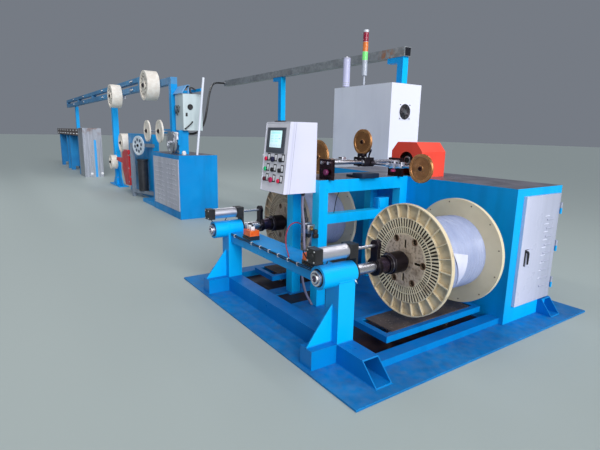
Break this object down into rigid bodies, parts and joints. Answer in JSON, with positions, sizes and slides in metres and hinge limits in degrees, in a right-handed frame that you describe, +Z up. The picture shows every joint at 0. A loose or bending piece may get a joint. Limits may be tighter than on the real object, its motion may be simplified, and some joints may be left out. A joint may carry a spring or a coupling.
{
  "type": "cable insulation extrusion line",
  "caption": "Cable extrusion line with dual-reel take-up, traverse, haul-off, storage drums and cooling trough.",
  "frame": {"origin": "centre of the take-up's floor plate, on its underside at floor level", "axes": "+X along the line, downstream; +Y towards the drive cabinet; +Z up"},
  "size_m": [16.69, 2.8925, 2.466],
  "materials": {
    "blue_paint": "semi-gloss",
    "polished_steel": "polished",
    "dark_steel": "blackened",
    "cylinder_aluminium": "anodised",
    "black_plastic": "moulded",
    "orange_plastic": "moulded",
    "reel_plastic": "moulded",
    "white_cable": "wound",
    "rubber_mat": "ribbed",
    "grey_paint": "satin",
    "red_paint": "semi-gloss",
    "frame_grey": "satin",
    "bronze": "turned",
    "orange_paint": "semi-gloss",
    "box_paint": "powder coated",
    "screen": "glossy",
    "button_plastic": "moulded",
    "valve_metal": "machined",
    "signal_plastic": "clear coloured",
    "galvanised_steel": "galvanised",
    "cream_plastic": "moulded",
    "capstan_steel": "polished",
    "stainless": "brushed",
    "trough_paint": "semi-gloss"
  },
  "bodies": {
    "line_frame": {"accumulator_frame": "blue_paint", "base_plate": "blue_paint", "belt_guard": "red_paint", "conduit": "black_plastic", "control_box": "box_paint", "control_buttons": "button_plastic", "cylinder_barrels": "cylinder_aluminium", "cylinder_caps": "black_plastic", "dancer_drum": "black_plastic", "dancer_frame": "frame_grey", "drive_cabinet": "blue_paint", "electrical_cabinet": "grey_paint", "frame_beams": "blue_paint", "hauloff_cabinet": "blue_paint", "hauloff_frame": "blue_paint", "hauloff_panel": "grey_paint", "hmi_screen": "screen", "lift_rams": "polished_steel", "pedestals": "blue_paint", "shaft_guard": "orange_paint", "stack_light": "signal_plastic", "tester_box": "grey_paint", "traverse_frame": "blue_paint", "traverse_rods": "polished_steel", "trough_bays": "stainless", "trough_head": "stainless", "trough_legs": "trough_paint", "trunking": "galvanised_steel", "trunking_posts": "blue_paint", "valve_boxes": "orange_plastic", "valve_manifold": "valve_metal", "wheel_axles": "polished_steel"},
    "quill_near": {"quill_near": "polished_steel", "quill_nose_near": "dark_steel"},
    "quill_far": {"quill_far": "polished_steel", "quill_nose_far": "dark_steel"},
    "reel_near": {"reel_near": "reel_plastic", "winding_near": "white_cable", "drive_chuck_near": "dark_steel"},
    "reel_far": {"reel_far": "reel_plastic", "winding_far": "white_cable", "drive_chuck_far": "dark_steel"},
    "lift_near": {"lift_frame_near": "blue_paint", "lift_mat_near": "rubber_mat"},
    "lift_far": {"lift_frame_far": "blue_paint", "lift_mat_far": "rubber_mat"},
    "cabinet_door": {"cabinet_door": "grey_paint"},
    "traverse": {"traverse_carriage": "dark_steel", "traverse_arms": "polished_steel"},
    "pulley_top": {"pulley_top": "bronze"},
    "pulley_near": {"pulley_near": "bronze"},
    "pulley_far": {"pulley_far": "bronze"},
    "hauloff_wheel_left": {"hauloff_wheel_left": "cream_plastic"},
    "hauloff_wheel_right": {"hauloff_wheel_right": "cream_plastic"},
    "capstan_wheel": {"capstan_wheel": "capstan_steel"},
    "storage_drum_near": {"storage_drum_near": "cream_plastic"},
    "storage_drum_far": {"storage_drum_far": "cream_plastic"},
    "dancer_wheel": {"dancer_wheel": "cream_plastic"},
    "guide_roller_upper": {"guide_roller_upper": "cream_plastic"},
    "guide_roller_lower": {"guide_roller_lower": "cream_plastic"}
  },
  "joints": [
    {"name": "quill_near_slide", "type": "slide", "parent": "line_frame", "child": "quill_near", "axis": [0, -1, 0], "range_m": [0, 0.09]},
    {"name": "quill_far_slide", "type": "slide", "parent": "line_frame", "child": "quill_far", "axis": [0, -1, 0], "range_m": [0, 0.09]},
    {"name": "reel_near_spin", "type": "hinge", "parent": "line_frame", "child": "reel_near", "pos_m": [0.69, -0.1245, 0.516], "axis": [0, 1, 0], "continuous": true},
    {"name": "reel_far_spin", "type": "hinge", "parent": "line_frame", "child": "reel_far", "pos_m": [-0.69, -0.1245, 0.516], "axis": [0, 1, 0], "continuous": true},
    {"name": "lift_near_rise", "type": "slide", "parent": "line_frame", "child": "lift_near", "axis": [0, 0, 1], "range_m": [0, 0.039]},
    {"name": "lift_far_rise", "type": "slide", "parent": "line_frame", "child": "lift_far", "axis": [0, 0, 1], "range_m": [0, 0.039]},
    {"name": "cabinet_door_hinge", "type": "hinge", "parent": "line_frame", "child": "cabinet_door", "pos_m": [0.984, 0.884, 0.515], "axis": [0, 0, 1], "range_deg": [0, 105]},
    {"name": "traverse_slide", "type": "slide", "parent": "line_frame", "child": "traverse", "axis": [0, 1, 0], "range_m": [-0.2, 0.2]},
    {"name": "pulley_top_spin", "type": "hinge", "parent": "traverse", "child": "pulley_top", "pos_m": [-0.038, -0.11, 1.22], "axis": [0, 1, 0], "continuous": true},
    {"name": "pulley_near_spin", "type": "hinge", "parent": "traverse", "child": "pulley_near", "pos_m": [0.539, -0.11, 1.064], "axis": [0, 1, 0], "continuous": true},
    {"name": "pulley_far_spin", "type": "hinge", "parent": "traverse", "child": "pulley_far", "pos_m": [-0.6, -0.11, 1.074], "axis": [0, 1, 0], "continuous": true},
    {"name": "hauloff_wheel_left_spin", "type": "hinge", "parent": "line_frame", "child": "hauloff_wheel_left", "pos_m": [-5.23, -0.2375, 1.255], "axis": [0, 1, 0], "continuous": true},
    {"name": "hauloff_wheel_right_spin", "type": "hinge", "parent": "line_frame", "child": "hauloff_wheel_right", "pos_m": [-4.57, -0.2375, 1.255], "axis": [0, 1, 0], "continuous": true},
    {"name": "capstan_wheel_spin", "type": "hinge", "parent": "line_frame", "child": "capstan_wheel", "pos_m": [-4.06, -0.225, 1.1], "axis": [0, 1, 0], "continuous": true},
    {"name": "storage_drum_near_spin", "type": "hinge", "parent": "line_frame", "child": "storage_drum_near", "pos_m": [-5.09, -0.2075, 1.972], "axis": [0, 1, 0], "continuous": true},
    {"name": "storage_drum_far_spin", "type": "hinge", "parent": "line_frame", "child": "storage_drum_far", "pos_m": [-7.553, -0.2075, 1.934], "axis": [0, 1, 0], "continuous": true},
    {"name": "dancer_wheel_spin", "type": "hinge", "parent": "line_frame", "child": "dancer_wheel", "pos_m": [-6.10835, -0.1644, 0.983], "axis": [-0.2924, 0.9563, 0], "continuous": true},
    {"name": "guide_roller_upper_spin", "type": "hinge", "parent": "line_frame", "child": "guide_roller_upper", "pos_m": [-7.776, -0.02, 0.981], "axis": [0, 1, 0], "continuous": true},
    {"name": "guide_roller_lower_spin", "type": "hinge", "parent": "line_frame", "child": "guide_roller_lower", "pos_m": [-7.95, -0.23, 0.566], "axis": [0, 1, 0], "continuous": true}
  ]
}
